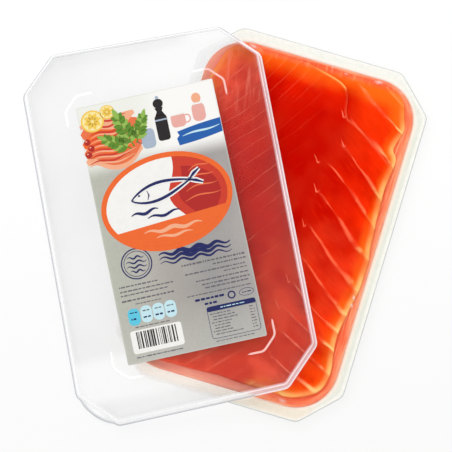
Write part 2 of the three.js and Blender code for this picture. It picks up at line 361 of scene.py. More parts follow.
def under_lid(points):
    """How far each point of the pack lies under the lid, from 0 at the lid's edge to 1 a little inside."""
    to_lid = np.array(LID.inverted() @ PACK)
    x, y = np.abs((pack_as_seen(points) * MM @ to_lid[:3, :3].T + to_lid[:3, 3])[:, :2].T) / MM
    chamfer = (LID_WIDTH + LID_LENGTH) / 2 - LID_CHAMFER - x - y
    inside = np.minimum(np.minimum(LID_WIDTH / 2 - x, LID_LENGTH / 2 - y), chamfer / math.sqrt(2))
    return np.clip(inside / COVER_FADE, 0, 1)


def fish_below(s):
    """In the lid's material: 1 where the pack's cavity lies under it."""
    to_pack = np.array(PACK.inverted() @ LID)
    beyond = []
    for row, half in zip(to_pack, (CAVITY_WIDTH / 2, CAVITY_LENGTH / 2)):
        dot = s.node("ShaderNodeVectorMath", operation="DOT_PRODUCT")
        s.feed(dot.inputs[0], s.place())
        dot.inputs[1].default_value = row[:3]
        apart = abs(Value(s, dot.outputs["Value"]) + row[3] / MM)
        past = (apart - (half - CAVITY_RADIUS)).most(0)
        beyond.append(past * past)
    inside = CAVITY_RADIUS - s.math("SQRT", beyond[0] + beyond[1])
    return inside.step(-0.5, 2.5)


def piece(name, points, faces, matrix, materials, slot, fields=None, face_slots=None, smooth=True):
    """A mesh object from points in a local frame, which shaders read as the field local."""
    mesh = bpy.data.meshes.new(name)
    place = np.array(matrix)
    seen = pack_as_seen(points) if matrix is PACK else points
    world = seen * MM @ place[:3, :3].T + place[:3, 3]
    mesh.from_pydata(world.tolist(), [], faces)
    local = mesh.attributes.new("local", "FLOAT_VECTOR", "POINT")
    local.data.foreach_set("vector", points.astype(np.float32).ravel())
    for key, values in (fields or {}).items():
        made = mesh.attributes.new(key, "FLOAT", "POINT")
        made.data.foreach_set("value", np.asarray(values, np.float32).ravel())
    for material in materials:
        mesh.materials.append(material)
    if face_slots is not None:
        mesh.polygons.foreach_set("material_index", np.asarray(face_slots, np.int32))
    mesh.polygons.foreach_set("use_smooth", np.full(len(mesh.polygons), smooth))
    mesh.update()
    obj = bpy.data.objects.new(name, mesh)
    bpy.context.scene.collection.objects.link(obj)
    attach(obj, BODY)
    return obj


def shell(rings, top_centre, bottom_centre):
    """Points and faces of a closed solid through a stack of rings, between two centre points."""
    rings = np.asarray(rings, float)
    stack, count = rings.shape[:2]
    points = np.vstack([[top_centre], rings.reshape(-1, 3), [bottom_centre]])
    here = np.arange(count)
    after = (here + 1) % count
    faces = [(0, 1 + a, 1 + b) for a, b in zip(here, after)]
    for r in range(stack - 1):
        upper = 1 + r * count
        lower = upper + count
        quads = np.column_stack([upper + here, lower + here, lower + after, upper + after])
        faces.extend(quads.tolist())
    last = 1 + (stack - 1) * count
    bottom = len(points) - 1
    faces.extend((bottom, int(last + b), int(last + a)) for a, b in zip(here, after))
    return points, faces


def together(parts):
    """Several points and faces as one."""
    points, faces, offset = [], [], 0
    for part_points, part_faces in parts:
        points.append(part_points)
        faces.extend(tuple(int(i) + offset for i in face) for face in part_faces)
        offset += len(part_points)
    return np.vstack(points), faces


def headings(route):
    """The unit direction of a route at each of its points."""
    tangents = np.gradient(route, axis=0)
    return tangents / np.linalg.norm(tangents, axis=1)[:, None]


def turned(points, turn):
    spin = np.array([[math.cos(turn), math.sin(turn)], [-math.sin(turn), math.cos(turn)]])
    return points @ spin


def spread(values, count):
    """One value per ring, repeated for each of its points, with the first and last for the two centres."""
    return np.concatenate([[values[0]], np.repeat(values, count), [values[-1]]])


# Outlines of the sealed pack, as in the solids, each as a distance from the middle
def straight_reaches(angle, width, length):
    """The direction's shares across and along, and how far it is to the long and to the short side."""
    across, along = np.abs(np.cos(angle)), np.abs(np.sin(angle))
    return across, along, width / 2 / np.maximum(across, 1e-6), length / 2 / np.maximum(along, 1e-6)


def cavity_reach(angle, inset):
    """A rectangle with round corners."""
    width, length = CAVITY_WIDTH - 2 * inset, CAVITY_LENGTH - 2 * inset
    radius = max(CAVITY_RADIUS - inset, 4)
    across, along, side, end = straight_reaches(angle, width, length)
    core_x, core_y = width / 2 - radius, length / 2 - radius
    middle = across * core_x + along * core_y
    inside = np.maximum(middle ** 2 - core_x ** 2 - core_y ** 2 + radius ** 2, 0)
    on_side = along * (width / 2) <= core_y * across
    on_end = across * (length / 2) <= core_x * along
    return np.where(on_side, side, np.where(on_end, end, middle + np.sqrt(inside)))


def flange_reach(angle, inset):
    """An octagon with softened corners."""
    width, length = TRAY_WIDTH - 2 * inset, TRAY_LENGTH - 2 * inset
    across, along, side, end = straight_reaches(angle, width, length)
    chamfer = ((length + width) / 2 - TRAY_CHAMFER + LEG_SHRINK * inset) / (across + along)
    sharp = np.minimum(np.minimum(side, end), chamfer)
    steepness = sharp / TRAY_ROUND * 6
    total = sum((reach / sharp) ** -steepness for reach in (side, end, chamfer))
    return sharp * total ** (-1 / steepness)


def wave(x, y):
    along = np.sin(2 * np.pi * (y + 0.4 * x) / WAVE_ALONG)
    across = np.sin(2 * np.pi * (x - 0.3 * y) / WAVE_ACROSS + 1)
    return WAVE_HEIGHT * along * across


def depth_inside(x, y):
    angle = np.arctan2(y, x)
    straight = cavity_reach(angle, 0) - np.hypot(x, y)
    sideways = np.minimum(CAVITY_WIDTH / 2 - np.abs(x), CAVITY_LENGTH / 2 - np.abs(y))
    return np.maximum(0, np.minimum(straight, sideways))


def film_under(x, y):
    rise = 1 - np.exp(-depth_inside(x, y) / CROWN_REACH)
    return FLANGE_TOP + SEAL_GAP + CROWN_RISE * rise + wave(x, y) * rise ** 2


def polar(angles, reach):
    return np.column_stack([reach * np.cos(angles), reach * np.sin(angles)])


def ring(angles, reach, height):
    """Points round the middle, at one height or at a height that is a function of x and y."""
    plan = polar(angles, reach)
    z = height(*plan.T) if callable(height) else np.full(len(plan), height)
    return np.column_stack([plan, z])


def even_angles(count):
    return np.linspace(0, 2 * np.pi, count, endpoint=False)


# The fish
def slice_inset(angle):
    """How far the slices stop short of the cavity's edge."""
    along = cavity_reach(angle, 0) * np.sin(angle)
    ripple = np.sin(11 * angle + 0.5) + 0.6 * np.sin(23 * angle + 1)
    bays = sum(depth * np.exp(-((along - middle) / half) ** 2) for middle, depth, half in SLICE_BAYS)
    return SLICE_INSET + bays + SLICE_EDGE_WAVE * ripple


def second_reach(angle):
    return cavity_reach(angle, 0) - slice_inset(angle)


def whole_top_reach(angle):
    return second_reach(angle) - TOP_SLICE_INSET


def top_reach(angle):
    """The upper slice stops short of its far right corner, along the corner cut."""
    cut = np.array(CORNER_CUT)[::-1]
    reach = whole_top_reach(angle)
    for start, end in zip(cut, cut[1:]):
        first, last = math.atan2(start[1], start[0]), math.atan2(end[1], end[0])
        along = end - start
        twice_area = start[0] * along[1] - start[1] * along[0]
        straight = twice_area / (np.cos(angle) * along[1] - np.sin(angle) * along[0])
        reach = np.where((angle >= first) & (angle <= last), np.minimum(reach, straight), reach)
    return reach


def fat_fields(x, y):
    """Which fat line a place lies past, as a running number, and how far it is from the middle line."""
    across, along = np.array(FAT_TIPS)[::-1].T
    middle = np.convolve(np.pad(across, 1, "edge"), [0.25, 0.5, 0.25], "valid")
    side = x - np.interp(y, along, middle)
    run = np.log1p(np.exp((np.abs(side) - ARM_START) / ARM_BEND)) * ARM_BEND
    right, left = (np.interp(y, *np.array(slopes).T) for slopes in (ARM_SLOPES, LEFT_SLOPES))
    start = y + np.where(side > 0, right, left) * run
    number = np.interp(start, along, np.arange(len(along)))
    beyond = (np.maximum(start - along[-1], 0) + np.minimum(start - along[0], 0)) / LINE_SPACING
    return number + beyond, side


def edge_distances(points, outline):
    """How far each point lies inside a closed outline, measured to the outline's nearest point."""
    nexts = np.roll(outline, -1, axis=0)
    dense = np.vstack([outline + (nexts - outline) * share for share in (0, 0.25, 0.5, 0.75)])
    tree = KDTree(len(dense))
    for i, (x, y) in enumerate(dense):
        tree.insert((x, y, 0), i)
    tree.balance()
    return np.array([tree.find((x, y, 0))[2] for x, y in points])


def slice_piece(name, reach, whole_reach, underside, topside, material, node):
    """A thin slice with a rounded wavy edge and shallow grooves along its fat lines."""
    def middle(x, y):
        return (underside(x, y) + topside(x, y)) / 2

    angles = even_angles(SLICE_COUNT)
    outline = reach(angles)
    plan = polar(angles, outline)
    shares = np.sin(np.linspace(0.02, 1, SLICE_RINGS) * np.pi / 2)[:-1]
    places = (plan[None] * shares[:, None, None]).reshape(-1, 2)
    x, y = places.T
    rim = edge_distances(places, plan)
    edge = edge_distances(places, polar(angles, whole_reach(angles)))
    round_share = np.sqrt(1 - (1 - np.clip(rim / SLICE_ROUND, 0, 1)) ** 2)
    number, side = fat_fields(x, y)
    gap = np.abs(number - np.round(number)) * LINE_SPACING
    groove = FAT_GROOVE * np.exp(-(gap / GROOVE_WIDTH) ** 2) * np.clip(np.abs(side) / 10, 0, 1)
    height = middle(x, y) + (topside(x, y) - middle(x, y)) * round_share - groove
    top = np.column_stack([places, height]).reshape(len(shares), SLICE_COUNT, 3)
    bottom = [ring(angles, outline * share, underside) for share in (0.98, 0.92, 0.8, 0.6, 0.3)]
    zero = np.zeros(1)
    points, faces = shell(
        [*top, ring(angles, outline, middle), *bottom],
        (0, 0, topside(zero, zero)[0]),
        (0, 0, underside(zero, zero)[0]),
    )
    number, side = fat_fields(points[:, 0], points[:, 1])
    fields = {"number": number, "side": side, "covered": under_lid(points)}
    rest = np.zeros(len(points) - 1 - len(edge))
    for key, values in (("edge", edge), ("rim", rim)):
        fields[key] = np.concatenate([[values.max()], values, rest])
    made = piece(name, points, faces, PACK, [material], "salmon", fields)
    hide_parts(node)


def flat_bead(route, widths, rise):
    """Points and faces of a flat bead along a route, and a field that is 1 on its ridge."""
    tangents = headings(route)
    aside = np.column_stack([-tangents[:, 1], tangents[:, 0], np.zeros(len(route))]) * widths[:, None] / 2
    up = np.array([0, 0, rise])
    rings = [(p + a, p + up, p - a, p - up) for p, a in zip(route, aside)]
    points, faces = shell(rings, route[0], route[-1])
    return points, faces, np.concatenate([[0], np.tile([0.0, 1.0, 0.0, 0.0], len(rings)), [0]])


def fat_ticks():
    """A short pale hook where each fat line starts, of a long stroke and a short one beside it."""
    rng = random.Random(7)
    parts, soft = [], []
    t = np.linspace(0, 1, 9)
    for x, y in FAT_TIPS[1:-1]:
        strokes = [(rng.uniform(*lengths), rng.uniform(*leans)) for lengths, leans in TICK_STROKES]
        for length, lean in strokes:
            lean = math.radians(lean)
            flat_x = x + t * length * math.cos(lean) + 0.35 * np.sin(math.pi * t)
            flat_y = y - 1.8 + t * length * math.sin(lean)
            route = np.column_stack([flat_x, flat_y, film_under(flat_x, flat_y) - SLICE_GAP])
            widths = rng.uniform(0.9, 1.2) * (1 - 0.75 * t) * np.clip(12 * t + 0.3, 0, 1)
            points, faces, ridge = flat_bead(route, widths, 0.06)
            parts.append((points, faces))
            soft.append(ridge)
    s = Shader("salmon_fat")
    pale = s.blend(s.noise(0.4).step(0.35, 0.7), (240, 84, 58), (252, 142, 112))
    fat = s.moist(s.blend(s.field("soft").step(0, 0.6), (214, 30, 12), pale), 0.45)
    points, faces = together(parts)
    fields = {"soft": np.concatenate(soft)}
    piece("salmon_fat_ticks", points, faces, PACK, [fat], "salmon", fields, smooth=False)


def flesh_places(s):
    """What the layers of the flesh depend on. Distances are in millimetres, shares run from 0 to 1."""
    at = SimpleNamespace(**{name: s.field(name) for name in ("side", "edge", "rim", "covered")})
    at.along = s.part(s.place(), 1)
    drift = s.noise(0.03, 2) * 0.36 - 0.18
    jitter = s.noise(0.22, 2) * 0.05 - 0.025
    at.number = s.field("number") + drift + jitter
    at.since_line = s.math("FRACT", at.number)
    at.before_line = 1 - at.since_line
    at.far_end = at.along.step(70, 92)
    at.far_left = at.along.step(48, 86) * at.side.step(-4, -26)
    at.banded = at.side.step(0, 12) * (1 - at.far_end)
    return at


def flesh_tones(s, at):
    """Deep red in the middle and more orange outwards, paler under the lid as painted light, clouded, with
    muscle grain.
    """
    tone = s.ramp(
        at.edge / 50, (0, (253, 72, 6)), (0.16, (248, 46, 2)),
        (0.34, (222, 24, 0)), (0.6, (200, 12, 0)), (1, (190, 8, 0)),
    )
    near_end = at.along.step(-20, -85) * 0.85
    far_right = at.along.step(44, 92) * at.side.step(-2, 14) * 0.85
    paler = at.covered * at.along.step(-20, -90).most(at.far_left) * 0.9
    cloud = s.noise(0.035, 4, 0.55).step(0.42, 0.62, 0, 0.6)
    milky = s.noise(0.05, 1).step(0.4, 0.75) * at.along.step(30, -40, 0.1, 0.5)
    muscle = s.noise(0.9, 4, 0.55, stretch=(0.14, 0.9, 1), turn=-0.62)
    muscle_share = at.side.step(-6, 6, 0.05, 0.22)
    lighter = at.since_line.step(0, 0.6, 0.3, 0) * at.banded
    darker = at.before_line.step(0, 0.35, 0.35, 0) * at.banded * at.along.step(-80, -40, 0.3, 1)
    return s.over(
        tone,
        (near_end, (252, 72, 12)),
        # Painted light: under the lid the flesh is painted lighter and paler.
        (at.covered * 0.35, (232, 36, 24)),
        (paler, (255, 92, 66)),
        (cloud, (188, 4, 0)),
        (milky, (246, 78, 42)),
        (far_right, (252, 54, 5)),
        (muscle.step(0.5, 0.7) * muscle_share, (240, 66, 24)),
        (muscle.step(0.5, 0.3) * muscle_share, (184, 6, 0)),
        (lighter, (250, 46, 4)),
        (darker, (196, 8, 0)),
    )


def painted_edge_glow(s, at, tone):
    """Painted light inside the slice's edge: an orange glow, then a pale yellow painted highlight, strongest
    just past each fat line.
    """
    open_share = at.side.step(-16, 4).most(at.along.step(40, 80, 0, 0.8))
    facing = at.since_line.step(0.05, 0.95, 1, 0.35).most(at.far_end * 0.8) * open_share
    width = s.noise(0.05, 2).step(0.3, 0.7, 7, 12) + at.far_end * 7
    patchy = s.noise(0.08, 4, 0.55).step(0.3, 0.6, 0.6, 1)
    edge_highlight = at.since_line.step(0.05, 0.8, 1, 0.45) * patchy * open_share * at.far_end.step(0, 1, 1, 0.6)
    return s.over(
        tone,
        (at.edge.step(1, width, 0.9, 0) * facing, (253, 114, 24)),
        (at.edge.step(0.6, 4.6, 1, 0) * edge_highlight, (254, 198, 120)),
    )


def fat_lines(s, at, tone):
    """Pale lines, wider and yellower near the edge, and finer broken threads between them on the left."""
    half_width = at.edge.step(2, 40, 0.08, 0.035) * s.noise(0.04, 2).step(0.4, 0.62, 0.8, 2)
    line = (at.since_line.least(at.before_line) / half_width).step(0.05, 1, 1, 0)
    patchy = s.noise(0.07).step(0.38, 0.58, 0.15, 1)
    right_arm = at.side.step(1, 8, 0, 0.9)
    left_arm = at.side.step(-8, -30, 0, 0.6) * at.covered.step(0, 1, 0.25, 0.5)
    pale = s.blend(at.edge.step(2, 13), (255, 204, 130), (255, 104, 68))
    thread = abs(s.math("FRACT", at.number * 3) - 0.5).step(0.44, 0.5)
    broken = at.side.step(-12, -36, 0, 0.15) * s.noise(0.1).step(0.5, 0.62)
    return s.over(
        tone,
        (patchy * (right_arm + left_arm) * line, s.blend(at.covered, pale, (255, 128, 102))),
        (thread * broken, (244, 104, 84)),
    )


def ends_and_cut(s, at, tone):
    """Streaks and orange at the far end, painted highlight streaks on its rim, a painted shine along the top
    slice's cut corner, and painted shade at the slice's very edge.
    """
    streak = s.noise(0.5, 3, 0.5, stretch=(0.9, 0.1, 1), turn=0.2)
    orange = at.along.step(90, 101) * at.side.step(2, 12, 0.15, 0.75)
    far_rim = at.along.step(103, 108.5, 0, 0.8)
    at_cut = (at.edge - at.rim).step(0.3, 2.5) * at.rim.step(0.1, 2.2, 1, 0)
    upper = at.along.step(95, 99)
    shine = (upper * at.side.step(-32, -16, 0.1, 0.9)).most(at.along.step(78, 92, 0.5, 0.2))
    return s.over(
        tone,
        (streak.step(0.48, 0.7, 0, 0.4) * at.covered * at.far_left, (254, 142, 118)),
        (orange, (252, 104, 20)),
        (far_rim, (238, 88, 60)),
        # Painted highlights: pale streaks on the far rim.
        (streak.step(0.5, 0.68, 0, 0.6) * far_rim, (254, 160, 112)),
        # Painted highlight: a shine along the cut corner.
        (at_cut * shine, s.blend(upper, (252, 100, 64), (253, 178, 98))),
        # Painted shade: a darker line at the very edge of the slice.
        (at.rim.step(0, 0.4, 0.35, 0), (222, 92, 44)),
    )


def salmon_material():
    """The flesh of the two whole slices."""
    s = Shader("salmon_flesh")
    at = flesh_places(s)
    tone = flesh_tones(s, at)
    for layer in (painted_edge_glow, fat_lines, ends_and_cut):
        tone = layer(s, at, tone)
    s.bump(s.noise(0.45, 4, 0.6), 0.08, 0.35)
    return s.moist(tone, 0.42)


def pressed_material():
    """The paler band of pressed slices round the edge, streaked along its length."""
    s = Shader("salmon_pressed")
    depth = s.field("depth")
    joined = s.node("ShaderNodeCombineXYZ")
    s.feed(joined.inputs[0], depth * 0.9)
    s.feed(joined.inputs[1], s.field("around") * 0.07)
    streak = s.noise(1, 4, place=Value(s, joined.outputs[0]))
    tone = s.ramp(
        depth / 12, (0, (250, 186, 150)), (0.14, (250, 150, 110)),
        (0.4, (246, 122, 84)), (0.75, (240, 96, 56)), (1, (222, 60, 26)),
    )
    tone = s.over(
        tone,
        (streak.step(0.52, 0.68, 0, 0.7), (253, 174, 126)),
        (streak.step(0.46, 0.34, 0, 0.6), (232, 84, 48)),
        (s.noise(0.06).step(0.42, 0.66, 0, 0.4), (240, 92, 54)),
        # Painted light: paler under the lid.
        (s.field("covered") * 0.55, (250, 172, 158)),
    )
    s.bump(streak, 0.2, 0.4)
    return s.moist(tone, 0.5)


def lower_slices():
    angles = even_angles(256)
    bottom = wall = TRAY_SHEET + SLICE_GAP
    stations = [
        (20, LOWER_TOP), (12, LOWER_TOP), (7, LOWER_TOP), (4.5, LOWER_TOP), (2.6, LOWER_TOP),
        (1.3, LOWER_TOP - 0.08), (0.7, LOWER_TOP - 0.3), (0.8, FLANGE_TOP - TRAY_SHEET),
        (wall + 0.1, FLANGE_TOP - TRAY_SHEET - 0.4),
        (wall + WALL_DRAFT, bottom + TRAY_BEND), (wall + WALL_DRAFT + TRAY_BEND, bottom),
    ]
    rings = [ring(angles, cavity_reach(angles, inset), z) for inset, z in stations]
    points, faces = shell(rings, (0, 0, LOWER_TOP), (0, 0, bottom))
    x, y = points[:, 0], points[:, 1]
    around = np.arctan2(y, np.abs(x)) * 90
    fields = {"depth": depth_inside(x, y), "around": around, "covered": under_lid(points)}
    made = piece("salmon_pressed_slices", points, faces, PACK, [pressed_material()], "salmon", fields)
    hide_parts("salmon_lower_slices")


def fish():
    flesh = salmon_material()
    lower_slices()
    slice_piece(
        "salmon_corner_slice", second_reach, second_reach,
        lambda x, y: np.full_like(x, LOWER_TOP + 0.1),
        lambda x, y: np.maximum(film_under(x, y) - SLICE_THICKNESS - 2 * SLICE_GAP, LOWER_TOP + 0.35),
        flesh, "salmon_second_slice",
    )
    slice_piece(
        "salmon_upper_slice", top_reach, whole_top_reach,
        lambda x, y: np.maximum(film_under(x, y) - SLICE_THICKNESS - SLICE_GAP, LOWER_TOP + 0.5),
        lambda x, y: film_under(x, y) - SLICE_GAP,
        flesh, "salmon_top_slice",
    )
    fat_ticks()


# Tray and film
def tray_material():
    """Clear cream sheet: warm beside the fish, which is painted light from the fish, faintly green further
    out, with a pale lip and a grey edge that is partly painted shade. Warmer at the near end, painted shade;
    under the lid painted near white, clearer and faintly glowing, painted light in place of the lid's shade.
    """
    s = Shader("tray_sheet")
    across, covered = s.field("across"), s.field("covered")
    along = s.part(s.place(), 1)
    # Warm beside the fish is painted light from the fish; the grey at the outer edge is partly painted
    # shade.
    tone = s.ramp(
        across, (0, (250, 214, 188)), (0.08, (253, 234, 214)), (0.2, (255, 244, 226)),
        (0.4, (234, 236, 223)), (0.68, (234, 237, 226)), (0.78, (255, 253, 244)),
        (0.9, (250, 251, 246)), (1, (186, 194, 190)),
    )
    flat = across.step(0.95, 0.7)
    near = along.step(-78, -104)
    tone = s.over(
        tone,
        # Painted shade: warmer towards the near end.
        (along.step(-100, -114, 0, 0.75) * flat, (250, 234, 210)),
        (along.step(95, 112, 0, 0.6) * flat, (253, 252, 246)),
        (s.noise(0.06, 2).step(0.4, 0.7, 0, 0.3), (252, 250, 242)),
        # Painted light: under the lid the flange is near white, with painted warm shade towards the near
        # end.
        (covered, s.blend(near, (255, 252, 250), (253, 232, 210))),
    )
    far_share = across.step(0.2, 0.6, 0.2, 0.03)
    near_share = across.step(0.5, 1, 0.4, 0.03)
    under_share = far_share + (near_share - far_share) * near
    alpha = s.field("haze") * (1 - (1 - under_share) * covered)
    # Painted light: under the lid the sheet is clearer and glows faintly.
    return s.set(Base_Color=tone, Roughness=0.3, Specular_IOR_Level=0.3, Alpha=alpha,
                 Emission_Color=tone, Emission_Strength=covered * 0.3)


def tray():
    angles = even_angles(320)
    under = FLANGE_TOP - TRAY_SHEET
    wall = TRAY_SHEET + WALL_DRAFT

    def inner(inset, z):
        return ring(angles, cavity_reach(angles, inset), z)

    def outer(inset, z):
        return ring(angles, flange_reach(angles, inset), z)

    edge, lip = inner(0, FLANGE_TOP), outer(1.6, FLANGE_TOP)
    between = [(edge + (lip - edge) * share, share, 0.8) for share in (0.25, 0.5)]
    # Each ring with its place across the flange and its haze
    stations = [
        (inner(wall + TRAY_BEND, TRAY_SHEET), 0, 0.5),
        (inner(wall + 0.25, TRAY_SHEET + 0.35 * TRAY_BEND), 0, 0.4),
        (inner(wall, TRAY_SHEET + TRAY_BEND), 0, 0.35), (inner(TRAY_SHEET, under), 0, 0.35),
        (inner(0.25, FLANGE_TOP - 0.15), 0, 0.6), (edge, 0, 0.8), *between,
        (edge + (lip - edge) * 0.75, 0.7, 0.8), (lip, 0.8, 0.85),
        (outer(1.1, FLANGE_TOP + 0.16), 0.86, 0.9), (outer(0.6, FLANGE_TOP + 0.12), 0.92, 0.9),
        (outer(0.2, FLANGE_TOP), 1, 0.9), (outer(0, FLANGE_TOP - 0.3), 1, 0.9),
        (outer(0.2, under), 1, 0.9), (outer(1.6, under), 0.8, 0.5), (inner(0, under), 0, 0.4),
        (inner(WALL_DRAFT, TRAY_BEND), 0, 0.35),
        (inner(WALL_DRAFT + 0.25, 0.35 * TRAY_BEND), 0, 0.4), (inner(WALL_DRAFT + TRAY_BEND, 0), 0, 0.5),
    ]
    rings, across, haze = zip(*stations)
    points, faces = shell(rings, (0, 0, TRAY_SHEET), (0, 0, 0))
    fields = {"across": spread(across, 320), "haze": spread(haze, 320), "covered": under_lid(points)}
    made = piece("tray_sheet", points, faces, PACK, [tray_material()], "tray_plastic", fields)
    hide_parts("tray")


def film_material():
    s = Shader("clear_film")
    hidden = s.field("depth").step(0.5, 0) * s.field("covered")
    tone = s.blend(s.noise(0.1, 2).step(0.3, 0.7), (255, 250, 240), (244, 248, 240))
    alpha = s.field("haze") * s.noise(0.3).step(0.3, 0.8, 0.5, 1.5) * (1 - hidden)
    return s.set(Base_Color=tone, Roughness=0.12, Specular_IOR_Level=0.1, Alpha=alpha)


def film():
    """The clear sheet: flat on the flange, wrinkled where it turns up, smooth over the fish."""
    angles = even_angles(512)
    rng = random.Random(4)
    pinch_glints = [(math.radians(turn), 3.2, 1.0) for turn in PINCH_GLINT_TURNS]
    for _ in range(PINCH_GLINTS):
        pinch_glints.append((rng.uniform(0, 2 * math.pi), rng.uniform(1.5, 6), rng.uniform(0.3, 0.6)))

    def surface(lift):
        def height(x, y):
            angle = np.arctan2(y, x)
            band = np.exp(-((depth_inside(x, y) - 4) / 3.5) ** 2)
            folds = np.sin(61 * angle + 3 * np.sin(7 * angle)) * np.sin(23 * angle + 1.3)
            return film_under(x, y) + WRINKLE * band * folds + lift
        return height

    insets = np.concatenate([np.linspace(60, 14, 16), np.linspace(12, 0, 19)])
    reaches = [cavity_reach(angles, inset) for inset in insets]
    outer = flange_reach(angles, FILM_INSET)
    flange_z = FLANGE_TOP + SEAL_GAP
    rings = [ring(angles, reach, surface(FILM_SHEET)) for reach in reaches]
    rings += [ring(angles, outer, flange_z + FILM_SHEET), ring(angles, outer, flange_z)]
    rings += [ring(angles, reach, surface(0)) for reach in reversed(reaches)]
    centre = film_under(*np.zeros((2, 1)))[0]
    points, faces = shell(rings, (0, 0, centre + FILM_SHEET), (0, 0, centre))
    x, y = points[:, 0], points[:, 1]
    depth = depth_inside(x, y)
    haze = 0.0004 + 0.016 * np.exp(-((depth - 1.5) / 1.5) ** 2)
    # Painted glints: a dense white haze on each pinched spot.
    for where, inset, size in pinch_glints:
        apart = np.abs(np.angle(np.exp(1j * (np.arctan2(y, x) - where)))) * np.hypot(x, y)
        haze += 0.5 * np.exp(-(apart / size / 1.6) ** 2 - ((depth - inset) / size) ** 2)
    haze = np.where(depth <= 0, 0.05, haze)
    fields = {"haze": np.minimum(haze, 0.6), "depth": depth, "covered": under_lid(points)}
    made = piece("clear_film", points, faces, PACK, [film_material()], "film", fields)
    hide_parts("top_film")


# Lid
def lid_outline(inset, z):
    """Eight-sided outline with rounded corners, drawn inwards by inset, with the finger tab on its rim."""
    x, y = LID_WIDTH / 2 - inset, LID_LENGTH / 2 - inset
    leg = LID_CHAMFER - LEG_SHRINK * inset
    radius = max(LID_CORNER_RADIUS - inset, 1)
    corners = np.array([(x, -y + leg), (x, y - leg), (x - leg, y), (-x + leg, y),
                        (-x, y - leg), (-x, -y + leg), (-x + leg, -y), (x - leg, -y)])
    set_back = radius * math.tan(math.pi / 8)
    points = []
    for i, corner in enumerate(corners):
        after = corners[(i + 1) % 8]
        start = corner + toward(corner, corners[i - 1]) * set_back
        end = corner + toward(corner, after) * set_back
        points.extend(curve(start, corner, end, 9))
        following = after + toward(after, corner) * set_back
        points.extend(end + (following - end) * t for t in np.linspace(0, 1, EDGE_STEPS + 2)[1:-1])
    points = np.array(points)
    on_rim = max(1 - inset / TAB_ROOT, 0)
    points += np.outer(tab_bulge(points) * on_rim, TAB_OUT)
    return np.column_stack([points, np.full(len(points), z)])


def tab_bulge(points):
    """How far the rim swells into the finger tab, on the near left chamfer."""
    from_middle = points - TAB_MIDDLE
    along = from_middle @ np.array([-TAB_OUT[1], TAB_OUT[0]])
    share = np.clip(along / TAB_LENGTH + 0.5, 0, 1)
    on_chamfer = from_middle @ TAB_OUT > -TAB_ROOT - 1
    return np.where(on_chamfer, TAB_REACH * np.sin(math.pi * share) ** 0.7, 0)


def toward(start, end):
    return (end - start) / np.linalg.norm(end - start)


def lid_material():
    """Frosted plastic: a thin haze over the panel, whiter and denser where the sheet is seen edge on. Its
    tints are partly painted light and shade: pink where the fish lies below, a grey haze on the panel, a
    grey outline on the edge, and a faint painted glow on the rim and ribs.
    """
    s = Shader("frosted_lid")
    haze, raised, place = s.field("haze"), s.field("raised"), s.place()
    across, along = s.part(place, 0), s.part(place, 1)
    frost = s.noise(0.9, 3, 0.6)
    over_fish = fish_below(s)
    panel = haze.step(0.14, 0.3, 1, 0)
    # Painted light: where the fish lies below, the frost is tinted pink with its colour.
    pink = s.blend(haze.step(0.65, 0.85), (242, 214, 220), (255, 242, 242))
    pink = s.blend(raised, pink, (255, 190, 178))
    tint = s.over(
        s.blend(over_fish, (250, 250, 250), pink),
        # Painted shade: the panel's grey haze, and a grey outline on the edge that is dropped over the fish.
        (panel, s.blend(over_fish, (102, 104, 104), (150, 128, 122))),
        (s.field("outline") * over_fish.step(0, 1, 1, 0.05), (188, 189, 195)),
    )
    # Painted shade: the panel's grey haze is set by place, thinner in a band near the near end and towards
    # the far end, full again along the far edge.
    near_band = abs(along + 94).step(9, 19, 0.1, 1)
    top_shade = along.step(109, 115) * across.step(42, 24)
    far_corner = along.step(70, 96) * across.step(-40, 20, 0.15, 0.75) * (1 - top_shade)
    clearer = (near_band * (1 - far_corner)).most(over_fish * 0.8)
    misty = frost.step(0.2, 0.8, 0.92, 1.08) * s.noise(0.02, 2).step(0.35, 0.65, 0.85, 1.15)
    alpha = (haze * clearer.most(1 - panel) * misty).least(0.97)
    s.bump(frost, 0.05, 0.25)
    # Painted glow: the rim, wall and ribs glow faintly white.
    return s.set(Base_Color=tint, Roughness=0.38, Specular_IOR_Level=0.3, Alpha=alpha,
                 Emission_Color=(1, 1, 1, 1), Emission_Strength=(1 - panel) * 0.07 + raised * 0.15)


def tube(route, radius, sides=12):
    """Points and faces of a round bead along a route, with domed ends."""
    route = np.asarray(route, float)
    tangents = headings(route)
    up = np.array([0, 0, 1.0])
    turn = even_angles(sides)
    sizes = [0.45, 0.85] + [1.0] * (len(route) - 4) + [0.85, 0.45]
    rings = []
    for point, tangent, size in zip(route, tangents, sizes):
        circle = np.outer(np.cos(turn), np.cross(tangent, up)) + np.outer(np.sin(turn), up)
        rings.append(point + radius * size * circle)
    dome = 0.6 * radius
    return shell(rings, route[0] - tangents[0] * dome, route[-1] + tangents[-1] * dome)


def curve(start, corner, end, steps):
    """Points on a smooth curve from start to end that bends towards a corner."""
    return [(1 - t) ** 2 * start + 2 * t * (1 - t) * corner + t ** 2 * end for t in np.linspace(0, 1, steps)]


def smooth_route(corners):
    """A route through corner points with each inner corner rounded."""
    corners = [np.array(c, float) for c in corners]
    points = [corners[0]]
    for before, corner, after in zip(corners, corners[1:], corners[2:]):
        start = corner + toward(corner, before) * 2.2
        end = corner + toward(corner, after) * 2.2
        points.extend(curve(start, corner, end, 9))
    points.append(corners[-1])
    dense = []
    for a, b in zip(points, points[1:]):
        parts = max(1, int(np.linalg.norm(b - a) / 1.2))
        dense.extend(a + (b - a) * i / parts for i in range(parts))
    dense.append(points[-1])
    return dense


def rib(sign_x, sign_y):
    z = LID_HEIGHT + RIB_RISE
    corners = [
        (RIB_X, RIB_Y - RIB_CHAMFER - RIB_ARM), (RIB_X, RIB_Y - RIB_CHAMFER),
        (RIB_X - RIB_CHAMFER, RIB_Y), (RIB_X - RIB_CHAMFER - RIB_ARM, RIB_Y),
    ]
    return tube(smooth_route([(sign_x * x, sign_y * y, z) for x, y in corners]), RIB_RADIUS)


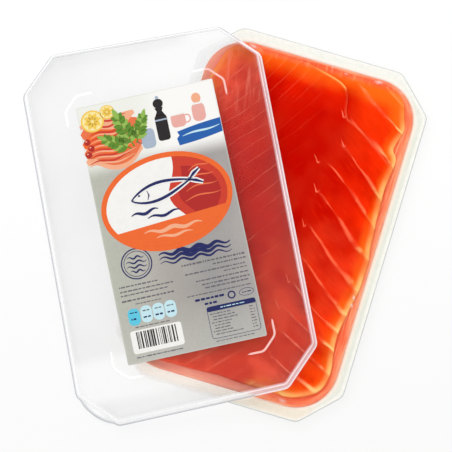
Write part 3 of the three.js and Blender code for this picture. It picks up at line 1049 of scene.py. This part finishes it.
def lid():
    under = LID_HEIGHT - LID_SHEET
    wall_top = RIM_WIDTH + LID_DRAFT
    bend = LID_BEND
    # Inset from the outline, height, haze and share of the grey outline, painted shade on the edge, from the
    # panel down and back under
    stations = [
        (34, LID_HEIGHT, 0.05, 0), (16, LID_HEIGHT, 0.05, 0), (8, LID_HEIGHT, 0.065, 0),
        (wall_top + bend + 1.4, LID_HEIGHT, 0.12, 0.1),
        (wall_top + bend + 0.3, LID_HEIGHT - 0.02, 0.45, 0.45),
        (wall_top + 0.6 * bend, LID_HEIGHT - 0.14, 0.85, 0),
        (wall_top + 0.25 * bend, LID_HEIGHT - 0.35 * bend, 0.85, 0),
        (wall_top, LID_HEIGHT - bend, 0.6, 0), (RIM_WIDTH + 0.3, LID_SHEET + 0.7, 0.6, 0),
        (RIM_WIDTH, LID_SHEET + 0.05, 0.6, 0.1), (RIM_WIDTH - 0.3, LID_SHEET, 0.6, 0.1),
        (1.1, LID_SHEET, 0.7, 0.4), (0.7, LID_SHEET, 0.9, 0.9), (0.1, LID_SHEET - 0.15, 0.9, 1),
        (0, LID_SHEET / 2, 0.9, 1), (0.1, 0.1, 0.9, 1), (0.4, 0, 0.6, 0.5),
        (RIM_WIDTH + LID_SHEET, 0, 0.2, 0), (wall_top + LID_SHEET, LID_HEIGHT - bend, 0.2, 0),
        (wall_top + LID_SHEET + 0.5 * bend, under, 0.05, 0), (34, under, 0.05, 0),
    ]
    insets, heights, hazes, outlines = zip(*stations)
    rings = [lid_outline(inset, z) for inset, z in zip(insets, heights)]
    points, faces = shell(rings, (0, 0, LID_HEIGHT), (0, 0, under))
    off_tab = 1 - np.maximum(tab_bulge(points[:, :2]), 0) / TAB_REACH
    haze, outline = spread(hazes, len(rings[0])), spread(outlines, len(rings[0]))
    outline = np.where(outline < 0.95, outline * off_tab, outline)
    points[:, 0] += WALL_SHIFT * np.clip(points[:, 2] / LID_HEIGHT, 0, 1)
    points[:, 1] *= 1 - LID_TAPER * points[:, 0]
    parts = [(points, faces)]
    rows = [np.column_stack([haze, outline, np.zeros(len(points))])]
    for sign_x, sign_y, rib_haze in ((-1, -1, 0.3), (-1, 1, 0.6), (1, -1, 0.6), (1, 1, 0.6)):
        points, faces = rib(sign_x, sign_y)
        points[:, :2] = turned(points[:, :2], PANEL_TURN) + PANEL_SHIFT
        parts.append((points, faces))
        rows.append(np.tile((rib_haze, 0, 1), (len(points), 1)))
    fields = dict(zip(("haze", "outline", "raised"), np.vstack(rows).T))
    made = piece("frosted_lid", *together(parts), LID, [lid_material()], "lid_plastic", fields)
    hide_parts("lid")


# Label and its print
INKS = {
    "white": (248, 247, 243), "orange": (246, 108, 44), "red": (214, 62, 42), "deep_red": (186, 40, 36),
    "salmon": (240, 118, 72), "pale_salmon": (250, 178, 140), "navy": (38, 44, 104), "blue": (34, 98, 178),
    "cyan": (98, 206, 232), "pale_cyan": (202, 236, 244), "green": (98, 146, 46),
    "light_green": (150, 190, 84), "yellow": (248, 206, 84), "pale_yellow": (253, 236, 168),
    "text": (112, 108, 116), "black": (46, 42, 44), "slate": (172, 186, 204), "blush": (240, 176, 166),
}


def ink_material(name):
    s = Shader(f"ink_{name}", LIGHT_LEVEL)
    tone = s.paint(INKS[name])
    darker = (*(0.92 * value for value in tone[:3]), 1.0)
    tone = s.blend(s.noise(0.22, 4, 0.6).step(0.3, 0.75, 0, 0.6), tone, darker)
    return s.set(Base_Color=tone, Roughness=0.45, Specular_IOR_Level=0.2)


def label_material():
    """Silver-grey paper: greener on the left, darkest right of the middle, pale at its far end."""
    s = Shader("label_paper", LIGHT_LEVEL)
    place = s.place()
    across, along = s.part(place, 0), s.part(place, 1)
    grain = s.noise(0.6, 4, 0.6)
    tone = s.ramp(
        across / LABEL_WIDTH + 0.5, (0, (190, 193, 179)), (0.25, (187, 184, 175)), (0.5, (172, 167, 161)),
        (0.7, (157, 155, 154)), (1, (172, 166, 163)),
    )
    gap = (LABEL_WIDTH / 2 - abs(across)).least(LABEL_LENGTH / 2 - abs(along))
    tone = s.over(
        tone,
        (along.step(-46, -84, 0, 0.6), (203, 202, 194)),
        (s.noise(0.03, 2).step(0.4, 0.7, 0, 0.25), (196, 191, 184)),
        (grain.step(0.35, 0.8, 0, 0.2), (150, 146, 140)),
        (along.step(36, 50), s.blend(across.step(-10, 15), (240, 241, 233), (252, 250, 247))),
        (gap.step(0.3, 1.2, 0.35, 0), (216, 217, 208)),
    )
    s.bump(grain, 0.03, 0.3)
    return s.set(Base_Color=tone, Roughness=0.42, Specular_IOR_Level=0.25)


def rounded_box(x, y, width, height, radius):
    corners = np.repeat([(1, 1), (-1, 1), (-1, -1), (1, -1)], 5, axis=0)
    angles = np.array([i + t / 4 for i in range(4) for t in range(5)]) * math.pi / 2
    return corners * (width / 2 - radius, height / 2 - radius) + polar(angles, radius) + (x, y)


def oval(x, y, half_width, half_height, turn=0.0, start=0.0, end=2 * math.pi, count=56):
    angles = np.linspace(start, end, count, endpoint=abs(end - start) < 2 * math.pi - 1e-6)
    return turned(polar(angles, 1) * (half_width, half_height), turn) + (x, y)


def leaf(x, y, length, width, turn):
    t = np.linspace(0, 1, 13)
    upper = np.column_stack([t * length, width / 2 * np.sin(math.pi * t) ** 0.8 * (1.15 - 0.5 * t)])
    return turned(np.vstack([upper, (upper * (1, -1))[-2:0:-1]]), turn) + (x, y)


def stroke(route, widths):
    """A brush stroke: a strip along a route with a width at each point."""
    route = np.asarray(route, float)
    tangents = headings(route)
    aside = np.column_stack([-tangents[:, 1], tangents[:, 0]]) * np.asarray(widths)[:, None] / 2
    return np.vstack([route + aside, (route - aside)[::-1]])


def wavy(x_start, x_end, y, rise, waves, width, tilt=0.0):
    t = np.linspace(0, 1, 40)
    height = y + rise * np.sin(2 * math.pi * waves * t) + tilt * t
    route = np.column_stack([x_start + (x_end - x_start) * t, height])
    return stroke(route, width * (0.25 + np.sin(math.pi * t)))


class Print:
    """Ink on the label: flat closed patches, each a hair proud of the paper, in levels."""

    def __init__(self):
        self.names = list(INKS)
        self.points = []
        self.faces = []
        self.slots = []

    def patch(self, outer, ink, level=1, inner=None):
        """One patch, or a band if it has an inner outline."""
        heights = (LABEL_SHEET - INK_STEP, LABEL_SHEET + level * INK_STEP)
        start, count = len(self.points), len(outer)
        for loop in (outer,) if inner is None else (outer, inner):
            for z in heights:
                self.points.extend((x, y, z) for x, y in loop)
        low, high, inner_low, inner_high = (start + k * count for k in range(4))
        made = []
        walls = [(low, high)]
        if inner is None:
            made += [tuple(range(high, high + count)), tuple(reversed(range(low, low + count)))]
        else:
            walls += [(inner_high, inner_low), (high, inner_high), (inner_low, low)]
        for first, second in walls:
            for i in range(count):
                j = (i + 1) % count
                made.append((first + i, first + j, second + j, second + i))
        self.faces += made
        self.slots += [self.names.index(ink)] * len(made)

    def hoop(self, ink, level, x, y, half_width, half_height, thickness, turn=0.0, count=56):
        inner = oval(x, y, half_width - thickness, half_height - thickness, turn, count=count)
        self.patch(oval(x, y, half_width, half_height, turn, count=count), ink, level, inner)

    def draw(self, shape, *items):
        """Patches of one kind of shape, each given by its ink, its level and what the shape takes."""
        for ink, level, *sizes in items:
            self.patch(shape(*sizes), ink, level)

    def outlined(self, route, widths):
        """A navy brush stroke on a wider white one."""
        widths = np.asarray(widths, float)
        self.patch(stroke(route, widths + 1.8), "white", 5)
        self.patch(stroke(route, widths), "navy", 6)

    def words(self, x, x_end, y, height, ink, rng, level=1):
        """A line of small print as short bars with gaps."""
        while x < x_end - 0.8:
            length = min(rng.uniform(0.8, 3.4), x_end - x)
            tall = height * rng.uniform(0.75, 1.0)
            self.patch(rounded_box(x + length / 2, y, length, tall, tall * 0.3), ink, level)
            x += length + rng.uniform(0.4, 0.7)


def serving_picture(p):
    """Folded slices with lemon rounds, berries and sprigs, as simple shapes."""
    for y, width, ink, level in ((48, 12, "pale_salmon", 1), (53, 15, "salmon", 2), (66, 15, "salmon", 1),
                                 (59.5, 14, "orange", 3), (72, 9, "pale_salmon", 2)):
        p.patch(wavy(-45.2, -6 - 0.2 * abs(y - 58), y, 1.8, 1.2, width, 2), ink, level)
    for i in range(8):
        y = 45.5 + 3.7 * i
        p.patch(wavy(-44 + 0.8 * i, -13 + 1.2 * math.sin(2 * i), y, 1.1, 1.2, 0.9, 1.8), "pale_salmon", 4)
        p.patch(wavy(-43 + 0.6 * i, -16 + 2.0 * math.sin(3 * i), y + 1.7, 1.0, 1.3, 1.1, 1.7), "red", 4)
    for x, y, size in ((-36.5, 75, 7.6), (-26, 79, 4.8)):
        p.patch(oval(x, y, size, size * 0.96), "yellow", 5)
        p.patch(oval(x, y, size * 0.86, size * 0.82), "pale_yellow", 6)
        for i in range(8):
            turn = i * math.pi / 4 + 0.2
            p.patch(leaf(x + 0.1 * size * math.cos(turn), y + 0.1 * size * math.sin(turn),
                         size * 0.68, size * 0.44, turn), "yellow", 7)
    for x, y in ((-42.5, 62), (-40.6, 57.6), (-43, 53.6)):
        p.patch(oval(x, y, 2.1, 2.1, count=24), "deep_red", 6)
        p.patch(oval(x - 0.6, y + 0.7, 0.6, 0.5, count=16), "pale_salmon", 7)
    for base, turn, size in (((-13, 53), 1.9, 24), ((-11, 55), 1.15, 19), ((-15, 52), 2.6, 20)):
        sprig(p, base, turn, size)


def kitchen_picture(p):
    """A pepper mill, a jug and two cups, as plain silhouettes."""
    p.draw(rounded_box, ("black", 3, 7.5, 61, 8, 17, 2))
    p.patch(stroke([(7.5, 69), (7.5, 72), (7.5, 74.5)], [6.5, 3.4, 5.6]), "black", 3)
    p.patch(oval(7.5, 77.2, 3.3, 3.1, count=32), "black", 4)
    p.patch(oval(7.5, 81.2, 1.1, 1.1, count=20), "slate", 4)
    p.patch(oval(32.5, 75.4, 3.0, 3.4, count=32), "pale_salmon", 4)
    p.draw(
        rounded_box,
        ("slate", 5, 7.5, 66.2, 8.2, 1.0, 0.4), ("slate", 3, -3, 56, 9, 13, 3),
        ("white", 3, -3, 64.6, 5.6, 5, 1.4),
        ("blush", 3, 18.5, 63.5, 9.5, 9, 2.6), ("white", 4, 18.5, 67.6, 9.9, 1.2, 0.5),
        ("blush", 3, 32.5, 66, 8.5, 12, 3.4), ("white", 5, 32.5, 71.8, 6.5, 1.2, 0.5),
    )
    p.hoop("slate", 2, -8, 57.5, 3.2, 4.2, 1, count=32)
    p.hoop("blush", 2, 24, 63.6, 2.8, 3.0, 0.9, count=32)


def sprig(p, base, turn, size):
    stem = np.outer(np.linspace(0, 1, 8), (math.cos(turn), math.sin(turn))) * size + base
    p.patch(stroke(stem, np.linspace(0.9, 0.4, 8)), "green", 5)
    for i in range(1, 7):
        for side in (-1, 1):
            ink = "light_green" if (i + side) % 3 == 0 else "green"
            p.patch(leaf(*stem[i], size * 0.42 * (1 - 0.08 * i), size * 0.17, turn + side * 0.85), ink, 6)
    tip = stem[0] + 0.85 * (stem[-1] - stem[0])
    p.patch(leaf(*tip, size * 0.36, size * 0.16, turn), "light_green", 7)


def badge(p):
    """An oval badge with an orange ring, white and red fields and a plain fish in navy strokes."""
    x, y = 0.3, 13.2
    turn = math.radians(4)
    p.patch(oval(x, y, 39.9, 28.2, turn), "white", 1)
    p.hoop("orange", 2, x, y, 43.3, 31.6, 3.4, turn)
    right = oval(x, y, 40, 28.3, turn, -1.15, 1.3, 30)
    back = np.linspace(0, 1, 16)
    edge = right[-1] + np.outer(back, right[0] - right[-1])
    edge[:, 0] += 2.2 * np.sin(9 * back) - 9 * np.sin(math.pi * back)
    field = np.vstack([right, edge[1:-1]])
    p.patch(field, "red", 2)
    p.patch(x + (field - x) * 0.72 + (7, 4), "deep_red", 3)
    for i in range(4):
        p.draw(wavy, ("salmon", 4, 12 + 2 * i, 36 - i, 10 + 6.5 * i, 1.3, 0.8, 0.8, 4))
    p.patch(oval(x, y, 40, 28.3, turn, math.pi + 0.44, 2 * math.pi - 0.44, 30), "orange", 4)
    for wave in ((-18, 20, -4.5, 0.9, 2.5, 2.2), (-11, 13, -9, 0.7, 1.5, 1.5)):
        p.patch(wavy(*wave), "pale_salmon", 5)
    body = np.linspace(0, 1, 30)
    for sign in (1, -1):
        bulge = sign * 5.6 * np.sin(math.pi * body ** 0.8)
        route = np.column_stack([40 * body - 22, 18 + 6 * body + bulge])
        p.outlined(route, 0.9 + 1.1 * np.sin(math.pi * body))
    p.outlined([(17.6, 24.2), (21, 27.4), (25, 30)], [0.9, 2.0, 0.8])
    p.outlined([(17.6, 23.8), (21.6, 22.6), (26, 20.4)], [0.9, 2.0, 0.8])
    p.draw(wavy, ("navy", 5, -24, -6, 8.2, 0.9, 1.5, 1.7, 1.5), ("navy", 5, -14, 8, 4.6, 0.9, 1.5, 1.5, 1.5))
    p.patch(oval(-16.6, 20.4, 0.8, 0.8, count=16), "navy", 5)
    p.patch(stroke([(-11.5, 16.4), (-10.2, 19.4), (-11, 22.6)], [0.3, 0.9, 0.3]), "navy", 5)


def seal(p):
    """A plain round seal: two rings and three waves."""
    x, y = -27, -22.5
    p.hoop("navy", 1, x, y, 10.2, 10.2, 0.8)
    p.hoop("navy", 1, x, y, 8.4, 8.4, 0.4)
    for i, half in enumerate((5.4, 6.8, 6.6, 4.8)):
        p.patch(wavy(x - half, x + half, y + 4.2 - 3 * i, 0.7, 2, 0.9), "navy", 1)


def small_print(p, rng):
    for x_start, x_end, y, height in (
        (21, 42.6, -33.2, 1.1), (2, 42.6, -36.6, 1.0), (27, 42.6, -39.0, 0.9), (8, 42.6, -42.2, 1.0),
        (11.5, 42.6, -45.0, 1.0), (13, 42.6, -47.4, 1.0), (0.5, 42.6, -50.8, 0.8),
        (-41.3, -16, -35.8, 1.0), (-41.3, -5.5, -38.8, 0.9), (-41.3, -9.5, -41.4, 0.9),
        (-41.3, -7, -45.0, 1.1), (-33, -16, -48.0, 0.7), (-36, -12.5, -62.9, 0.7),
        (-39, -7.5, -82.2, 0.8), (13, 38, -82.6, 0.6),
    ):
        p.words(x_start, x_end, y, height, "text", rng)
    p.words(5, 24, -54.2, 1.6, "navy", rng)
    p.words(10.5, 20, -57.6, 1.5, "navy", rng)
    p.words(1, 42.7, -30.4, 1.3, "text", rng)
    for i, width in enumerate((2.6, 2.0, 1.3)):
        p.patch(wavy(-12, 35, -20.4 - 2.9 * i, 1.1, 4, width, 0), "navy", 1)


def panels(p, rng):
    """Four rounded panels in a row, a barcode on white, and two small marks."""
    p.draw(rounded_box, ("cyan", 1, -35.4, -56, 7.8, 11, 3.2))
    for i in range(3):
        x = 7.9 * i
        p.draw(rounded_box, ("pale_cyan", 1, x - 27.2, -55.6, 7.4, 11, 3.2))
        p.words(x - 29.4, x - 25, -53.2, 0.8, "text", rng, 2)
        p.words(x - 29.6, x - 24.8, -57.4, 1.2, "navy", rng, 2)
    p.words(-37.8, -33, -53.2, 0.8, "navy", rng, 2)
    p.words(-37.6, -33.2, -57.4, 1.3, "navy", rng, 2)
    p.draw(rounded_box, ("white", 1, -23.5, -72.3, 33.4, 15, 1.8))
    x = -36.5
    while x < -10.5:
        width = rng.choice((0.35, 0.35, 0.7, 1.05))
        p.draw(rounded_box, ("black", 2, x + width / 2, -71.4, width, 11, 0.04))
        x += width + rng.choice((0.35, 0.35, 0.7, 1.0))
    p.hoop("navy", 1, 28.7, -55.2, 2.6, 2.6, 0.9, count=32)
    p.hoop("navy", 1, 38.4, -55.2, 4.8, 2.5, 0.3, count=32)
    p.words(35.6, 41.4, -55.2, 0.8, "navy", rng)


def table(p, rng):
    """A framed table with a navy head and eight rows."""
    x, y, width, height = 27, -70.4, 32, 21
    head = y + height / 2 - 1.7
    outer, inner = (rounded_box(x, y, width - t, height - t, 2 - t / 3) for t in (0, 0.6))
    p.patch(outer, "navy", 1, inner)
    p.draw(rounded_box, ("navy", 2, x, head, width - 0.2, 3.2, 1.2))
    p.words(x - 7, x + 9, head, 0.6, "pale_cyan", rng, 3)
    for row in range(8):
        line_y = head - 3.3 - row * 1.9
        indent = 0 if row % 3 == 0 else 1.5
        p.words(x - 14.5 + indent, x + rng.uniform(-3, 5), line_y, 0.7, "text", rng)
        p.words(x + 11, x + 14.4, line_y, 0.7, "text", rng)


def ribbon(p):
    t = np.linspace(0, 1, 18)
    x, middle = 16 + 29.2 * t, 51.6 + 3.4 * t
    half = 4.6 + 0.5 * np.sin(math.pi * t)
    low, high = np.column_stack([x, middle - half]), np.column_stack([x, middle + half])
    p.patch(np.vstack([low, high[::-1], [(17.2, 53.6), (15.2, 51.8)]]), "blue", 2)
    p.patch(wavy(19, 44, 52.6, 0.5, 1, 1.1, 2.6), "pale_cyan", 3)


def label():
    outline = rounded_box(0, 0, LABEL_WIDTH, LABEL_LENGTH, LABEL_CORNER)
    low = np.column_stack([outline, np.zeros(len(outline))])
    high = np.column_stack([outline, np.full(len(outline), LABEL_SHEET)])
    points, faces = shell([high, low], (0, 0, LABEL_SHEET), (0, 0, 0))
    made = piece("label_sheet", points, faces, LABEL, [label_material()], "label_paper", smooth=False)
    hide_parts("label")
    rng = random.Random(11)
    p = Print()
    for picture in (serving_picture, kitchen_picture, ribbon, badge, seal):
        picture(p)
    for lines in (small_print, panels, table):
        lines(p, rng)
    inks = [ink_material(name) for name in INKS]
    piece("label_print", np.array(p.points, float), p.faces, LABEL, inks, "label_paper",
          face_slots=p.slots, smooth=False)


# Surroundings
def floor():
    s = Shader("floor")
    position = Value(s, s.node("ShaderNodeNewGeometry").outputs["Position"])
    s.set(
        Base_Color=(112, 112, 112), Roughness=0.9, Specular_IOR_Level=0,
        Emission_Color=(1, 1, 1, 1), Emission_Strength=s.part(position, 1).step(-0.16, 0.16, 0.79, 0.835),
    )
    mesh = bpy.data.meshes.new("floor")
    size = 3.0
    corners = [(-size, -size, 0), (size, -size, 0), (size, size, 0), (-size, size, 0)]
    mesh.from_pydata(corners, [], [(0, 1, 2, 3)])
    mesh.materials.append(s.material)
    obj = bpy.data.objects.new("floor", mesh)
    obj.location.z = -0.0002
    bpy.context.scene.collection.objects.link(obj)


def light():
    world = bpy.data.worlds.new("studio")
    world.use_nodes = True
    nodes, links = world.node_tree.nodes, world.node_tree.links
    background = nodes["Background"]
    background.inputs["Color"].default_value = (1, 1, 1, 1)
    paths = nodes.new("ShaderNodeLightPath")
    dim = nodes.new("ShaderNodeMapRange")
    dim.inputs["To Min"].default_value = 0.93
    dim.inputs["To Max"].default_value = 0.2
    links.new(paths.outputs["Is Glossy Ray"], dim.inputs["Value"])
    links.new(dim.outputs[0], background.inputs["Strength"])
    bpy.context.scene.world = world
    key = bpy.data.lights.new("key", "AREA")
    key.shape = "RECTANGLE"
    key.size, key.size_y, key.energy = 0.9, 0.6, 5.0
    lamp = bpy.data.objects.new("key", key)
    lamp.location = (-0.55, 0.75, 1.1)
    lamp.rotation_euler = (-lamp.location).to_track_quat("-Z", "Y").to_euler()
    bpy.context.scene.collection.objects.link(lamp)


def camera():
    data = bpy.data.cameras.new("camera")
    data.sensor_width = SENSOR
    data.lens = FOCAL_PX / IMAGE_SIZE * SENSOR
    data.clip_end = 20
    obj = bpy.data.objects.new("camera", data)
    back = Vector((0, -math.cos(CAMERA_HEIGHT_ANGLE), math.sin(CAMERA_HEIGHT_ANGLE)))
    obj.location = AIM + back * CAMERA_DISTANCE
    obj.rotation_euler = (math.pi / 2 - CAMERA_HEIGHT_ANGLE, 0, 0)
    bpy.context.scene.collection.objects.link(obj)
    bpy.context.scene.camera = obj
    bpy.context.scene.view_settings.view_transform = "Standard"


camera()
light()
floor()
tray()
fish()
film()
lid()
label()

bpy.context.view_layer.update()
